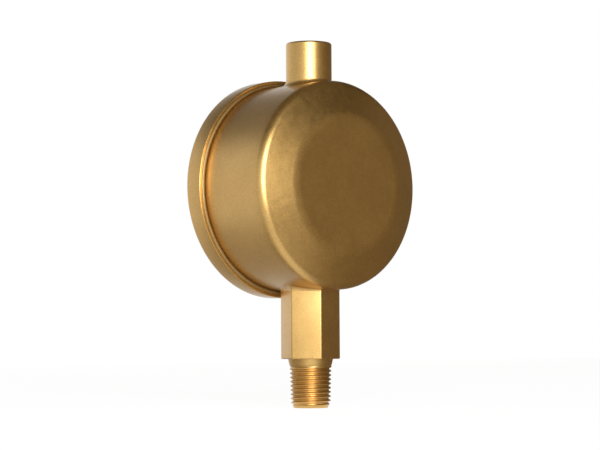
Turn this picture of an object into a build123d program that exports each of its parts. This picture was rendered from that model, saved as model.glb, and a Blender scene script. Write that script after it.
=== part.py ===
from build123d import *
import os
from math import cos, radians, sin, tan

# Steam air vent: a short drum lying on its side, a hexagonal stem with a tapered pipe
# thread under it and a round vent tower on top. A float with a thermostatic bottom works
# inside and shuts the port in the tower. Millimetres, +Z up, the drum's front towards -Y.
# The origin is the centre of the stem's lower end.

# Drum
drum_radius = 34.9
sheet = 0.9
shoulder_start = 12.9
shoulder_radius = 3.2
cone_angle = 20.0
plateau_reach = 19.6
plateau_blend = 10.0

# Rear cover, its skirt pushed over the drum's flange
flange_width = 1.37
flange_setback = 0.9
flange_bend = 0.5
rim_front = 12.9
rear_reach = 20.1
rim_rear_round = 1.0
rim_front_round = 0.3
seam_clearance = 0.03
bead_proud = 0.42
bead_fullness = 0.98
recess_radius = 28.5
recess_depth = 1.0
recess_angle = 28.0
recess_blend = 3.0

# Stem with hexagon and 1/4 inch tapered pipe thread, 18 threads to the inch
thread_reach = 16.35
stem_height = 23.0
hex_across_flats = 17.46
hex_turn = 9.9
hex_edge_round = 0.6
hex_end_round = 0.4
neck_top_radius = 7.6
neck_foot_radius = 7.17
neck_length = 1.9
thread_pitch = 25.4 / 18
thread_depth = 0.8 * thread_pitch
thread_end_radius = 6.63
thread_taper = 1 / 32
first_groove = 1.2
thread_end_chamfer = 0.75
crest_flat = 0.16
root_flat = 0.18
bore_radius = 4.5
stem_spigot_radius = 6.5
stem_spigot_rise = 3.0
stem_solder_gap = 0.3
stem_solder_rise = 2.4
stem_solder_flare = 38.0

# Vent tower
tower_radius = 7.75
tower_height = 14.0
tower_top_round = 0.7
tower_spigot_radius = 6.0
tower_spigot_drop = 3.0
tower_solder_radius = 1.6
outlet_radius = 3.2
outlet_chamfer = 0.8
seat_bore_depth = 9.0

# Port seat, gasket and guide cage
seat_body_radius = 4.5
seat_collar_radius = 5.6
seat_collar_height = 1.5
gasket_thickness = 0.5
port_radius = 1.6
seat_mouth_radius = 2.7
cage_wall = 0.7
cage_grip = 1.8
cage_window_width = 7.0
pin_rest_gap = 0.5
socket_top_gap = 0.4

# Float
float_radius = 15.0
float_wall = 0.5
float_round = 3.0
float_below_centre = 18.0
float_band_width = 4.0
float_band_wall = 0.6
float_lift = 2.0
closing_gap = 0.1
pin_head_radius = 2.2
pin_head_length = 1.6
pin_shank_radius = 1.4
pin_tip_radius = 0.4
pin_seat_depth = 2.6
socket_radius = 3.0
socket_height = 3.2
socket_flange_radius = 5.2
socket_flange_height = 0.8
plug_radius = 1.3
plug_height = 2.2
plug_offset = 9.0
running_clearance = 0.08

# Thermostatic bottom of the float
diaphragm_radius = 12.5
diaphragm_sheet = 0.3
ring_inner_radius = 10.0
ring_height = 1.2
corrugation_count = 2
corrugation_pitch = 2.2
corrugation_height = 0.35
thrust_plate_radius = 4.0
thrust_plate_height = 0.8
button_radius = 3.0
button_height = 4.0
button_round = 1.4
rest_gap = 0.1

# Stand under the float and siphon strip in the bore
stand_wall = 1.0
stand_radius = 9.0
stand_ring_height = 1.3
stand_window_width = 11.0
strip_width = 5.0
strip_thickness = 0.5
strip_offset = 3.0
strip_bend = 0.3
strip_end_gap = 1.5
strip_tab_reach = 8.7
rivet_radius = 0.6
rivet_head_radius = 1.0
rivet_head_height = 0.5

# Heights and places that follow from the sizes above, from the thread upwards
drum_base = thread_reach + stem_height
drum_centre = drum_base + drum_radius
drum_crown = drum_centre + drum_radius
drum_depth = plateau_reach + rear_reach
tower_top = drum_crown + tower_height
stem_top = drum_base - stem_solder_gap
stem_spigot_top = drum_base + sheet + stem_spigot_rise

# Seat, pin, cage and float hang together from the tower's spigot downwards
tower_spigot_bottom = drum_crown - sheet - tower_spigot_drop
seat_collar_top = tower_spigot_bottom - gasket_thickness
seat_collar_bottom = seat_collar_top - seat_collar_height
seat_body_top = tower_spigot_bottom + seat_bore_depth
seat_apex = seat_collar_bottom + seat_mouth_radius
pin_apex = seat_apex - closing_gap - float_lift
pin_cone_base = pin_apex - pin_head_radius
pin_head_bottom = pin_cone_base - pin_head_length
cage_top = tower_spigot_bottom + cage_grip
cage_bottom = pin_head_bottom - pin_rest_gap - cage_wall
cage_radius = tower_spigot_radius + cage_wall
socket_top = cage_bottom - socket_top_gap - float_lift
float_top = socket_top - socket_height
float_bottom = drum_centre - float_below_centre
float_split = (float_bottom + float_top) / 2
diaphragm_bottom = float_bottom - diaphragm_sheet
thrust_plate_bottom = diaphragm_bottom - thrust_plate_height
button_bottom = thrust_plate_bottom - button_height
stand_top = button_bottom - rest_gap
stand_bottom = stem_spigot_top - stand_ring_height
rivet_place = (stem_spigot_radius + stand_radius) / 2

# The soldered seam, from the drum's wall outwards
flange_radius = drum_radius + flange_width
skirt_radius = flange_radius + seam_clearance
rim_radius = skirt_radius + sheet
bead_front = rim_front - bead_proud
bead_round = bead_fullness * (skirt_radius - drum_radius) / 2
flange_front = rim_front + flange_setback
flange_rear = flange_front + sheet

drum_axis = Axis((0, 0, drum_centre), (0, 1, 0))
drum_plane = Plane(origin=(0, 0, drum_centre), x_dir=(1, 0, 0), z_dir=(0, 0, 1))

os.makedirs("parts", exist_ok=True)


def save(piece, name):
    """Label a finished sub-part and write its file."""
    piece.part.label = name
    export_step(piece.part, f"parts/{name}.step")


def front_corners(inset):
    """Wall radius, shoulder reach, plateau radius and face reach, moved inwards by inset."""
    tilt = radians(cone_angle)
    centre_radius = drum_radius - shoulder_radius
    cone_distance = sin(tilt) * centre_radius + cos(tilt) * shoulder_start + shoulder_radius - inset
    wall_radius = drum_radius - inset
    face_reach = plateau_reach - inset
    shoulder_reach = (cone_distance - sin(tilt) * wall_radius) / cos(tilt)
    plateau_radius = (cone_distance - cos(tilt) * face_reach) / sin(tilt)
    return wall_radius, shoulder_reach, plateau_radius, face_reach


def crest_radius(height):
    """Radius over the thread's crests at a height above the stem's lower end."""
    return thread_end_radius + thread_taper * height


# Outside of the drum as one plain cylinder, used to trim what stands on its side
with BuildPart() as drum_core:
    with BuildSketch(Plane.XZ.offset(-drum_depth)):
        with Locations((0, drum_centre)):
            Circle(drum_radius)
    extrude(amount=2 * drum_depth)

# Drawn front shell of the drum, with an outward flange round its open rear end
wall_outside, shoulder_outside, plateau_outside, face_outside = front_corners(0)
wall_inside, shoulder_inside, plateau_inside, face_inside = front_corners(sheet)

with BuildPart() as front_shell:
    with BuildSketch(drum_plane):
        with BuildLine():
            FilletPolyline(
                (0, -face_outside),
                (plateau_outside, -face_outside),
                (wall_outside, -shoulder_outside),
                (wall_outside, flange_front),
                (flange_radius, flange_front),
                radius=(plateau_blend, shoulder_radius, flange_bend),
            )
            Line((flange_radius, flange_front), (flange_radius, flange_rear))
            FilletPolyline(
                (flange_radius, flange_rear),
                (wall_inside, flange_rear),
                (wall_inside, -shoulder_inside),
                (plateau_inside, -face_inside),
                (0, -face_inside),
                radius=(flange_bend + sheet, shoulder_radius - sheet, plateau_blend - sheet),
            )
            Line((0, -face_inside), (0, -face_outside))
        make_face()
    revolve(axis=drum_axis)
    with BuildSketch(Plane.XY.offset(drum_centre)):
        Circle(tower_spigot_radius)
    extrude(amount=2 * drum_radius, mode=Mode.SUBTRACT)
    with BuildSketch(Plane.XY.offset(drum_centre)):
        Circle(stem_spigot_radius)
    extrude(amount=-2 * drum_radius, mode=Mode.SUBTRACT)
save(front_shell, "front_shell")

# Pressed rear cover: its skirt passes over the flange and stands a little in front of it
slope_run = recess_depth / tan(radians(recess_angle))
slope_shift = sheet * tan(radians(recess_angle) / 2)

with BuildPart() as rear_cover:
    with BuildSketch(drum_plane):
        with BuildLine():
            FilletPolyline(
                (0, rear_reach - recess_depth),
                (recess_radius - slope_run, rear_reach - recess_depth),
                (recess_radius, rear_reach),
                (rim_radius, rear_reach),
                (rim_radius, rim_front),
                (skirt_radius, rim_front),
                radius=(recess_blend, recess_blend, rim_rear_round, rim_front_round),
            )
            FilletPolyline(
                (skirt_radius, rim_front),
                (skirt_radius, rear_reach - sheet),
                (recess_radius + slope_shift, rear_reach - sheet),
                (recess_radius - slope_run + slope_shift, rear_reach - recess_depth - sheet),
                (0, rear_reach - recess_depth - sheet),
                radius=(rim_rear_round - sheet, recess_blend, recess_blend),
            )
            Line((0, rear_reach - recess_depth - sheet), (0, rear_reach - recess_depth))
        make_face()
    revolve(axis=drum_axis)
save(rear_cover, "rear_cover")

# Bead of solder in the corner between the cover's skirt and the drum
with BuildPart() as seam_solder:
    with BuildSketch(drum_plane):
        with BuildLine():
            FilletPolyline(
                (drum_radius, flange_front - flange_bend),
                (drum_radius, bead_front),
                (skirt_radius, bead_front),
                (skirt_radius, flange_front - flange_bend),
                radius=bead_round,
            )
            Line(
                (skirt_radius, flange_front - flange_bend),
                (drum_radius, flange_front - flange_bend),
            )
        make_face()
    revolve(axis=drum_axis)
save(seam_solder, "seam_solder")

# Vent tower: turned brass, saddled on the drum, with a spigot through the drum's wall
with BuildPart() as vent_tower:
    with BuildSketch(Plane.XY.offset(drum_centre)):
        Circle(tower_radius)
    extrude(amount=tower_top - drum_centre)
    fillet(vent_tower.edges().group_by(Axis.Z)[-1], radius=tower_top_round)
    add(drum_core.part, mode=Mode.SUBTRACT)
    with BuildSketch(Plane.XY.offset(tower_spigot_bottom)):
        Circle(tower_spigot_radius)
    extrude(amount=drum_crown - tower_spigot_bottom)
    with BuildSketch(Plane.XY.offset(tower_spigot_bottom)):
        Circle(seat_body_radius)
    extrude(amount=seat_bore_depth, mode=Mode.SUBTRACT)
    with BuildSketch(Plane.XY.offset(tower_spigot_bottom)):
        Circle(outlet_radius)
    extrude(amount=tower_top - tower_spigot_bottom, mode=Mode.SUBTRACT)
    mouth = vent_tower.edges().filter_by(GeomType.CIRCLE).group_by(Axis.Z)[-1]
    chamfer(mouth.sort_by(SortBy.RADIUS)[0], length=outlet_chamfer)
save(vent_tower, "vent_tower")

# Solder fillet round the foot of the tower
with BuildPart() as tower_solder:
    add(drum_core.part)
    with BuildSketch(Plane.XY.offset(drum_centre)):
        Circle(tower_radius)
    extrude(amount=tower_top - drum_centre)
    plain_kinds = (GeomType.CIRCLE, GeomType.LINE)
    foot = tower_solder.edges().filter_by(lambda edge: edge.geom_type not in plain_kinds)
    fillet(foot, radius=tower_solder_radius)
    add(drum_core.part, mode=Mode.SUBTRACT)
    with BuildSketch(Plane.XY.offset(drum_centre)):
        Circle(tower_radius)
    extrude(amount=tower_top - drum_centre, mode=Mode.SUBTRACT)
save(tower_solder, "tower_solder")

# Stem: threaded end and neck turned round, hexagon above, spigot through the drum's wall
thread_outline = [
    (bore_radius, 0),
    (crest_radius(0) - thread_end_chamfer, 0),
    (crest_radius(first_groove) - thread_depth, first_groove - root_flat / 2),
]
groove_opening = thread_pitch - crest_flat
groove_count = int((thread_reach - neck_length - first_groove) / thread_pitch) + 1
for groove in range(groove_count):
    groove_centre = first_groove + groove * thread_pitch
    root_radius = crest_radius(groove_centre) - thread_depth
    if groove > 0:
        thread_outline.append((crest_radius(groove_centre), groove_centre - groove_opening / 2))
        thread_outline.append((root_radius, groove_centre - root_flat / 2))
    thread_outline.append((root_radius, groove_centre + root_flat / 2))
    thread_outline.append((crest_radius(groove_centre), groove_centre + groove_opening / 2))
thread_outline.append((neck_foot_radius, thread_reach - neck_length + crest_flat))
thread_outline.append((neck_top_radius, thread_reach))
thread_outline.append((bore_radius, thread_reach))

with BuildPart() as hex_stem:
    with BuildSketch(Plane.XY.offset(thread_reach)) as hexagon:
        RegularPolygon(hex_across_flats / 2, 6, major_radius=False, rotation=hex_turn)
        fillet(hexagon.vertices(), radius=hex_edge_round)
    extrude(amount=stem_top - thread_reach)
    fillet(hex_stem.edges().group_by(Axis.Z)[0], radius=hex_end_round)
    with BuildSketch(Plane.XZ):
        with BuildLine():
            Polyline(*thread_outline, close=True)
        make_face()
    revolve(axis=Axis.Z)
    with BuildSketch(Plane.XY.offset(stem_top)):
        Circle(stem_spigot_radius)
    extrude(amount=stem_spigot_top - stem_top)
    with BuildSketch(Plane.XY):
        Circle(bore_radius)
    extrude(amount=stem_spigot_top, mode=Mode.SUBTRACT)
save(hex_stem, "hex_stem")

# Brazed collar between the hexagon's top and the drum
with BuildPart() as stem_solder:
    with BuildSketch(Plane.XY.offset(stem_top)) as collar_outline:
        RegularPolygon(hex_across_flats / 2, 6, major_radius=False, rotation=hex_turn)
        fillet(collar_outline.vertices(), radius=hex_edge_round)
    extrude(amount=stem_solder_rise, taper=-stem_solder_flare)
    add(drum_core.part, mode=Mode.SUBTRACT)
    with BuildSketch(Plane.XY.offset(stem_top)):
        Circle(stem_spigot_radius)
    extrude(amount=stem_solder_rise, mode=Mode.SUBTRACT)
save(stem_solder, "stem_solder")

# Port seat, pushed into the tower from inside, with a conical mouth for the pin
with BuildPart() as port_seat:
    with BuildSketch(Plane.XZ):
        with BuildLine():
            Polyline(
                (seat_mouth_radius, seat_collar_bottom),
                (seat_collar_radius, seat_collar_bottom),
                (seat_collar_radius, seat_collar_top),
                (seat_body_radius, seat_collar_top),
                (seat_body_radius, seat_body_top),
                (port_radius, seat_body_top),
                (port_radius, seat_apex - port_radius),
                close=True,
            )
        make_face()
    revolve(axis=Axis.Z)
save(port_seat, "port_seat")

# Copper gasket between the seat's collar and the tower's spigot
with BuildPart() as seat_gasket:
    with BuildSketch(Plane.XY.offset(seat_collar_top)):
        Circle(seat_collar_radius)
        Circle(seat_body_radius, mode=Mode.SUBTRACT)
    extrude(amount=gasket_thickness)
save(seat_gasket, "seat_gasket")

# Guide cage: a stamped cup gripping the tower's spigot, its foot steering the pin
with BuildPart() as guide_cage:
    with BuildSketch(Plane.XZ):
        with BuildLine():
            Polyline(
                (tower_spigot_radius, cage_top),
                (cage_radius, cage_top),
                (cage_radius, cage_bottom),
                (pin_shank_radius + running_clearance, cage_bottom),
                (pin_shank_radius + running_clearance, cage_bottom + cage_wall),
                (tower_spigot_radius, cage_bottom + cage_wall),
                close=True,
            )
        make_face()
    revolve(axis=Axis.Z)
    with BuildSketch(Plane.XY.offset(cage_bottom + cage_wall)):
        with PolarLocations(cage_radius, 3, start_angle=90):
            Rectangle(cage_radius, cage_window_width)
    extrude(amount=seat_collar_bottom - cage_bottom - cage_wall, mode=Mode.SUBTRACT)
save(guide_cage, "guide_cage")

# Float: two drawn cups meeting at mid height, a band over the joint
with BuildPart() as float_top_shell:
    with BuildSketch(Plane.XZ):
        with BuildLine():
            FilletPolyline(
                (0, float_top),
                (float_radius, float_top),
                (float_radius, float_split),
                radius=float_round,
            )
            Line((float_radius, float_split), (float_radius - float_wall, float_split))
            FilletPolyline(
                (float_radius - float_wall, float_split),
                (float_radius - float_wall, float_top - float_wall),
                (0, float_top - float_wall),
                radius=float_round - float_wall,
            )
            Line((0, float_top - float_wall), (0, float_top))
        make_face()
    revolve(axis=Axis.Z)
    with BuildSketch(Plane.XY.offset(float_top - float_wall)):
        with Locations((plug_offset, 0)):
            Circle(plug_radius)
    extrude(amount=float_wall, mode=Mode.SUBTRACT)
save(float_top_shell, "float_top_shell")

with BuildPart() as float_bottom_shell:
    with BuildSketch(Plane.XZ):
        with BuildLine():
            Line((float_radius - float_wall, float_split), (float_radius, float_split))
            FilletPolyline(
                (float_radius, float_split),
                (float_radius, float_bottom),
                (ring_inner_radius, float_bottom),
                radius=float_round / 2,
            )
            Line((ring_inner_radius, float_bottom), (ring_inner_radius, float_bottom + float_wall))
            FilletPolyline(
                (ring_inner_radius, float_bottom + float_wall),
                (float_radius - float_wall, float_bottom + float_wall),
                (float_radius - float_wall, float_split),
                radius=float_round / 2 - float_wall,
            )
        make_face()
    revolve(axis=Axis.Z)
save(float_bottom_shell, "float_bottom_shell")

with BuildPart() as float_band:
    with BuildSketch(Plane.XY.offset(float_split - float_band_width / 2)):
        Circle(float_radius + float_band_wall)
        Circle(float_radius, mode=Mode.SUBTRACT)
    extrude(amount=float_band_width)
    rims = float_band.edges().filter_by(GeomType.CIRCLE).group_by(SortBy.RADIUS)[-1]
    fillet(rims, radius=float_band_wall / 2)
save(float_band, "float_band")

# Pin socket on the float's crown, valve pin in it, and the plug of the filling hole
with BuildPart() as pin_socket:
    with BuildSketch(Plane.XZ):
        with BuildLine():
            Polyline(
                (0, float_top),
                (socket_flange_radius, float_top),
                (socket_flange_radius, float_top + socket_flange_height),
                (socket_radius, float_top + socket_flange_height),
                (socket_radius, socket_top),
                (pin_shank_radius, socket_top),
                (pin_shank_radius, socket_top - pin_seat_depth),
                (0, socket_top - pin_seat_depth),
                close=True,
            )
        make_face()
    revolve(axis=Axis.Z)
save(pin_socket, "pin_socket")

with BuildPart() as valve_pin:
    with BuildSketch(Plane.XZ):
        with BuildLine():
            Polyline(
                (0, socket_top - pin_seat_depth),
                (pin_shank_radius, socket_top - pin_seat_depth),
                (pin_shank_radius, pin_head_bottom),
                (pin_head_radius, pin_head_bottom),
                (pin_head_radius, pin_cone_base),
                (pin_tip_radius, pin_apex - pin_tip_radius),
                (0, pin_apex - pin_tip_radius),
                close=True,
            )
        make_face()
    revolve(axis=Axis.Z)
save(valve_pin, "valve_pin")

with BuildPart() as charge_plug:
    with BuildSketch(Plane.XY.offset(float_top - float_wall)):
        with Locations((plug_offset, 0)):
            Circle(plug_radius)
    extrude(amount=plug_height)
    fillet(charge_plug.edges().group_by(Axis.Z)[-1], radius=plug_radius / 2)
save(charge_plug, "charge_plug")

# Corrugated diaphragm under the float, held by a soldered ring
with BuildPart() as float_diaphragm:
    with BuildSketch(Plane.XZ):
        with BuildLine():
            Polyline(
                (0, diaphragm_bottom),
                (diaphragm_radius, diaphragm_bottom),
                (diaphragm_radius, float_bottom),
                (0, float_bottom),
                close=True,
            )
        make_face()
        for ridge in range(corrugation_count):
            ridge_radius = ring_inner_radius - (ridge + 1) * corrugation_pitch + corrugation_pitch / 2
            with Locations((ridge_radius, float_bottom)):
                Rectangle(corrugation_pitch / 2, 2 * corrugation_height, align=(Align.CENTER, Align.MIN))
            with Locations((ridge_radius, diaphragm_bottom)):
                Rectangle(
                    corrugation_pitch / 2 - 2 * diaphragm_sheet,
                    2 * corrugation_height,
                    align=(Align.CENTER, Align.MIN),
                    mode=Mode.SUBTRACT,
                )
    revolve(axis=Axis.Z)
save(float_diaphragm, "float_diaphragm")

with BuildPart() as diaphragm_ring:
    with BuildSketch(Plane.XY.offset(diaphragm_bottom)):
        Circle(diaphragm_radius)
        Circle(ring_inner_radius, mode=Mode.SUBTRACT)
    extrude(amount=-ring_height)
    chamfer(diaphragm_ring.edges().group_by(Axis.Z)[0], length=diaphragm_sheet)
save(diaphragm_ring, "diaphragm_ring")

with BuildPart() as thrust_plate:
    with BuildSketch(Plane.XY.offset(thrust_plate_bottom)):
        Circle(thrust_plate_radius)
    extrude(amount=thrust_plate_height)
save(thrust_plate, "thrust_plate")

with BuildPart() as thrust_button:
    with BuildSketch(Plane.XY.offset(button_bottom)):
        Circle(button_radius)
    extrude(amount=button_height)
    fillet(thrust_button.edges().group_by(Axis.Z)[0], radius=button_round)
save(thrust_button, "thrust_button")

# Stand: a stamped cup pressed on the stem's spigot, its windows letting steam past
with BuildPart() as float_stand:
    with BuildSketch(Plane.XZ):
        with BuildLine():
            Polyline(
                (stem_spigot_radius, stand_bottom),
                (stand_radius, stand_bottom),
                (stand_radius, stand_top),
                (0, stand_top),
                (0, stand_top - stand_wall),
                (stand_radius - stand_wall, stand_top - stand_wall),
                (stand_radius - stand_wall, stem_spigot_top),
                (stem_spigot_radius, stem_spigot_top),
                close=True,
            )
        make_face()
    revolve(axis=Axis.Z)
    with BuildSketch(Plane.XY.offset(stem_spigot_top)):
        with PolarLocations(stand_radius, 3, start_angle=90):
            Rectangle(stand_radius, stand_window_width)
    extrude(amount=stand_top - stand_wall - stem_spigot_top, mode=Mode.SUBTRACT)
    with BuildSketch(Plane.XY.offset(stand_bottom)):
        with Locations((0, rivet_place)):
            Circle(rivet_radius)
    extrude(amount=stand_ring_height, mode=Mode.SUBTRACT)
save(float_stand, "float_stand")

# Siphon strip: hangs in the bore and leads the water down, its tab riveted to the stand
with BuildPart() as siphon_strip:
    with BuildSketch(Plane.YZ):
        with BuildLine():
            FilletPolyline(
                (strip_offset, strip_end_gap),
                (strip_offset, stem_spigot_top + strip_thickness),
                (strip_tab_reach, stem_spigot_top + strip_thickness),
                radius=strip_bend + strip_thickness,
            )
            Line(
                (strip_tab_reach, stem_spigot_top + strip_thickness),
                (strip_tab_reach, stem_spigot_top),
            )
            Polyline(
                (strip_tab_reach, stem_spigot_top),
                (strip_offset + strip_thickness, stem_spigot_top),
                (strip_offset + strip_thickness, strip_end_gap),
                (strip_offset, strip_end_gap),
            )
        make_face()
    extrude(amount=strip_width / 2, both=True)
    with BuildSketch(Plane.XY.offset(stem_spigot_top)):
        with Locations((0, rivet_place)):
            Circle(rivet_radius)
    extrude(amount=strip_thickness, mode=Mode.SUBTRACT)
save(siphon_strip, "siphon_strip")

with BuildPart() as siphon_rivet:
    with BuildSketch(Plane.XY.offset(stand_bottom)):
        with Locations((0, rivet_place)):
            Circle(rivet_radius)
    extrude(amount=stand_ring_height + strip_thickness)
    with BuildSketch(Plane.XY.offset(stem_spigot_top + strip_thickness)):
        with Locations((0, rivet_place)):
            Circle(rivet_head_radius)
    extrude(amount=rivet_head_height)
save(siphon_rivet, "siphon_rivet")
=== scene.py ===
"""Looks of a steam air vent: lacquered drum, vent tower and hexagonal stem with pipe thread."""

import logging
import math
from collections.abc import Callable
from dataclasses import dataclass
from enum import Enum

import bmesh
import bpy
from mathutils import Matrix, Vector


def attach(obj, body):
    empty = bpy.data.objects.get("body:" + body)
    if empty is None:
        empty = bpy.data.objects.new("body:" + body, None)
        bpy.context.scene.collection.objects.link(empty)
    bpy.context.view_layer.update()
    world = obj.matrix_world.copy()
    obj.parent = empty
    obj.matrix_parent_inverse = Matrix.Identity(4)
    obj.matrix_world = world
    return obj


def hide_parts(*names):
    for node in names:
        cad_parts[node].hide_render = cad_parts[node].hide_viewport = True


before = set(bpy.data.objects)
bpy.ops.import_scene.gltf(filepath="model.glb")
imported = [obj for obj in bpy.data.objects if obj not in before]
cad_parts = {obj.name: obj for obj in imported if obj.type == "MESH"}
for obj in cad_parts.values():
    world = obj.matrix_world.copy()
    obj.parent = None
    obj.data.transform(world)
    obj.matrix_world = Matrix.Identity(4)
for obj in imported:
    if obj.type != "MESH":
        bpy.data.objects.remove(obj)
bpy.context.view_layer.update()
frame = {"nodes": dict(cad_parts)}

MM = 0.001
LOG = logging.getLogger("air_vent")
Colour = tuple[float, float, float]


class Turning(Enum):
    """Line that an outline is turned round."""

    STEM = "stem"
    DRUM = "drum"


class Marks(Enum):
    """Tool marks left in a metal surface."""

    TURNED = "turned"
    DRAWN = "drawn"
    PLAIN = "plain"


@dataclass(frozen=True)
class Corner:
    """Corner of an outline, in millimetres from the axis and along it, with its rounding."""

    out: float
    along: float
    rounding: float = 0.0


class Sheet:
    """Writes the nodes of one material."""

    def __init__(self, name: str) -> None:
        """Start an empty material.

        Args:
            name: Name of the material.
        """
        self.material = bpy.data.materials.new(name)
        self.material.use_nodes = True
        self.nodes = self.material.node_tree.nodes
        self.links = self.material.node_tree.links
        self.nodes.clear()

    def add(self, kind: str, values: dict[str, object] | None = None, **settings: object) -> bpy.types.Node:
        """Add one node.

        Args:
            kind: Blender's name of the node type.
            values: Constant values of its inputs, by input name.
            settings: Properties of the node itself.

        Returns:
            The new node.
        """
        node = self.nodes.new(kind)
        for key, value in settings.items():
            setattr(node, key, value)
        for key, value in (values or {}).items():
            node.inputs[key].default_value = value
        return node

    def join(self, source: bpy.types.NodeSocket, target: bpy.types.NodeSocket) -> None:
        """Link an output to an input."""
        self.links.new(source, target)

    def noise(self, place: bpy.types.NodeSocket, scale: float, detail: float, low: float, high: float) -> bpy.types.NodeSocket:
        """Noise pattern spread between two values.

        Args:
            place: Coordinates that the pattern reads.
            scale: Pattern cells per metre.
            detail: Number of finer layers.
            low: Value in the pattern's hollows.
            high: Value on its heights.

        Returns:
            The value output.
        """
        pattern = self.add("ShaderNodeTexNoise", {"Scale": scale, "Detail": detail, "Roughness": 0.55})
        self.join(place, pattern.inputs["Vector"])
        spread = self.add("ShaderNodeMapRange", {"From Min": 0.3, "From Max": 0.7, "To Min": low, "To Max": high})
        self.join(pattern.outputs["Fac"], spread.inputs["Value"])
        return spread.outputs["Result"]

    def blend(self, share: bpy.types.NodeSocket, first: Colour, second: Colour) -> bpy.types.NodeSocket:
        """Mix two colours by a share from 0 to 1 and return the colour output."""
        mix = self.add("ShaderNodeMix", data_type="RGBA")
        colours = {socket.name: socket for socket in mix.inputs if socket.type == "RGBA"}
        colours["A"].default_value = (*first, 1.0)
        colours["B"].default_value = (*second, 1.0)
        self.join(share, mix.inputs["Factor"])
        return next(socket for socket in mix.outputs if socket.type == "RGBA")

    def glow(self, colour: bpy.types.NodeSocket, strength: bpy.types.NodeSocket | None = None) -> None:
        """Make the material shine with a colour, in a strength of 1 or one that is linked."""
        shine = self.add("ShaderNodeEmission")
        self.join(colour, shine.inputs["Color"])
        if strength is not None:
            self.join(strength, shine.inputs["Strength"])
        output = self.add("ShaderNodeOutputMaterial")
        self.join(shine.outputs["Emission"], output.inputs["Surface"])

    def scaled(self, colour: bpy.types.NodeSocket, amount: bpy.types.NodeSocket) -> bpy.types.NodeSocket:
        """Multiply a colour by a value and return the vector output."""
        product = self.add("ShaderNodeVectorMath", operation="SCALE")
        self.join(colour, product.inputs[0])
        self.join(amount, product.inputs["Scale"])
        return product.outputs["Vector"]


@dataclass(frozen=True)
class Lacquer:
    """Satin gold lacquer with fine metal flake."""

    name: str
    light: Colour = (0.68, 0.418, 0.130)
    dark: Colour = (0.60, 0.360, 0.106)
    roughness: float = 0.37
    flake_scale: float = 2900.0
    flake_spread: float = 0.13
    peel: float = 0.05
    lathe_marks: float = 0.0

    def material(self) -> bpy.types.Material:
        """Write the lacquer's nodes.

        Returns:
            The finished material.
        """
        sheet = Sheet(self.name)
        place = sheet.add("ShaderNodeTexCoord").outputs["Object"]
        tone = sheet.noise(place, 55.0, 3.0, 0.0, 1.0)
        flake = sheet.noise(place, self.flake_scale, 1.0, 1.0 - self.flake_spread, 1.0 + self.flake_spread)
        body = sheet.scaled(sheet.blend(tone, self.dark, self.light), flake)
        rough = sheet.noise(place, 420.0, 2.0, self.roughness - 0.03, self.roughness + 0.03)
        peel = sheet.noise(place, 1100.0, 2.0, 0.0, 1.0)
        bump = sheet.add("ShaderNodeBump", {"Strength": self.peel, "Distance": 0.00006})
        sheet.join(peel, bump.inputs["Height"])
        normal = bump.outputs["Normal"]
        if self.lathe_marks > 0:
            rings = sheet.add(
                "ShaderNodeTexWave",
                {"Scale": 900.0, "Distortion": 1.5, "Detail": 2.0, "Detail Scale": 2.0},
                wave_type="BANDS",
                bands_direction="Z",
            )
            sheet.join(place, rings.inputs["Vector"])
            turned = sheet.add("ShaderNodeBump", {"Strength": self.lathe_marks, "Distance": 0.00002})
            sheet.join(rings.outputs["Fac"], turned.inputs["Height"])
            sheet.join(normal, turned.inputs["Normal"])
            normal = turned.outputs["Normal"]
        shader = sheet.add(
            "ShaderNodeBsdfPrincipled",
            {"Metallic": 1.0, "Coat Weight": 0.45, "Coat Roughness": 0.2, "Coat IOR": 1.5},
        )
        sheet.join(body, shader.inputs["Base Color"])
        sheet.join(rough, shader.inputs["Roughness"])
        sheet.join(normal, shader.inputs["Normal"])
        output = sheet.add("ShaderNodeOutputMaterial")
        sheet.join(shader.outputs["BSDF"], output.inputs["Surface"])
        return sheet.material


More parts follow.
